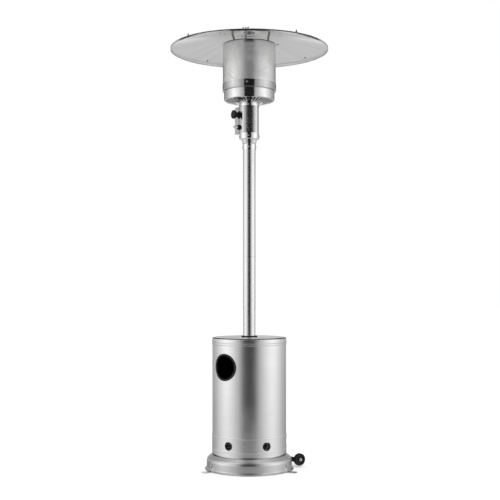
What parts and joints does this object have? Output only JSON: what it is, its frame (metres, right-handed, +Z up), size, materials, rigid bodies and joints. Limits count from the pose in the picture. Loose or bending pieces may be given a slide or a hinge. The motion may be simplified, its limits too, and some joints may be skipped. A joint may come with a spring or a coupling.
{
  "type": "outdoor heater",
  "caption": "Freestanding gas patio heater: round burner under a wide domed reflector, on a post above a cylinder housing that lifts, with a wheeled base.",
  "frame": {"origin": "on the floor, on the axis of the post", "axes": "+Z up along the post; the front faces -Y and +X is to the right seen from the front"},
  "size_m": [0.813, 0.813, 2.2576],
  "materials": {
    "brushed_stainless": "satin stainless sheet, brushed round the housing",
    "polished_stainless": "mirror-polished stainless sheet",
    "satin_stainless": "satin stainless sheet and tube",
    "reflector_aluminium": "smooth bright sheet",
    "zinc_fasteners": "bright zinc plate",
    "zinc_sheet": "bright plated sheet",
    "black_frame": "black powder coat",
    "black_plastic": "satin black moulding",
    "brass_fittings": "turned brass and bare copper",
    "burner_iron": "rough, heat-darkened",
    "emitter_mesh": "perforated stainless sheet",
    "heat_darkened_steel": "dull, heat-darkened sheet",
    "grey_button": "light grey moulding",
    "grey_switch": "dark grey moulding"
  },
  "bodies": {
    "stand": {"base_shell": "brushed_stainless", "anchor_feet": "zinc_sheet", "foot_rivets": "zinc_fasteners", "wheel_bracket": "black_frame", "bracket_bolts": "zinc_fasteners", "wheel_axle": "zinc_fasteners", "axle_nuts": "zinc_fasteners", "support_leg_1": "black_frame", "support_leg_2": "black_frame", "support_leg_3": "black_frame", "leg_bolts": "zinc_fasteners", "post_socket": "black_frame", "socket_bolts": "zinc_fasteners", "lower_post": "satin_stainless", "post_coupler": "black_frame", "upper_post": "satin_stainless", "gas_line": "brass_fittings", "gas_line_bushings": "black_plastic", "gas_inlet": "brass_fittings", "head_cup": "polished_stainless", "head_frame": "black_frame", "head_neck": "polished_stainless", "head_screws": "zinc_fasteners", "valve_cover": "satin_stainless", "valve_back": "satin_stainless", "cover_screws": "zinc_fasteners", "gas_valve": "brass_fittings", "knob_bezel": "black_plastic", "igniter_body": "black_plastic", "igniter_nut": "black_plastic", "tilt_switch": "grey_switch", "mixer_tube": "zinc_sheet", "burner_head": "burner_iron", "pilot_burner": "brass_fittings", "thermocouple": "brass_fittings", "burner_bowl": "polished_stainless", "emitter_band": "polished_stainless", "band_screws": "zinc_fasteners", "emitter_screen": "emitter_mesh", "emitter_top": "heat_darkened_steel", "reflector_studs": "zinc_fasteners", "stud_spacers": "zinc_sheet", "wing_nuts": "zinc_fasteners", "reflector_panel_1": "reflector_aluminium", "reflector_panel_2": "reflector_aluminium", "reflector_panel_3": "reflector_aluminium", "reflector_panel_4": "reflector_aluminium", "reflector_crown": "reflector_aluminium", "crown_bolt": "zinc_fasteners", "seam_bolts": "zinc_fasteners"},
    "near_wheel": {"wheel_near": "black_plastic"},
    "far_wheel": {"wheel_far": "black_plastic"},
    "cylinder_housing": {"housing_ring": "brushed_stainless", "housing_shell": "brushed_stainless", "housing_cap": "brushed_stainless", "hand_hole_trim": "black_plastic", "post_grommet": "black_plastic"},
    "valve_spindle": {"valve_stem": "zinc_fasteners"},
    "knob": {"control_knob": "black_plastic"},
    "button": {"igniter_button": "grey_button"}
  },
  "joints": [
    {"name": "housing_lift", "type": "slide", "parent": "stand", "child": "cylinder_housing", "axis": [0, 0, 1], "range_m": [0, 0.45]},
    {"name": "near_wheel_spin", "type": "hinge", "parent": "stand", "child": "near_wheel", "pos_m": [0.26098, 0.04098, 0.0365], "axis": [0.5, -0.866, 0], "continuous": true},
    {"name": "far_wheel_spin", "type": "hinge", "parent": "stand", "child": "far_wheel", "pos_m": [0.16598, 0.20552, 0.0365], "axis": [0.5, -0.866, 0], "continuous": true},
    {"name": "knob_push", "type": "slide", "parent": "stand", "child": "valve_spindle", "axis": [0.866, 0.5, 0], "range_m": [0, 0.003], "stiffness_N_per_m": 900},
    {"name": "knob_turn", "type": "hinge", "parent": "valve_spindle", "child": "knob", "pos_m": [-0.05217, -0.00703, 1.8236], "axis": [-0.866, -0.5, 0], "range_deg": [0, 240]},
    {"name": "igniter_push", "type": "slide", "parent": "stand", "child": "button", "axis": [0.866, 0.5, 0], "range_m": [0, 0.006], "stiffness_N_per_m": 700}
  ]
}
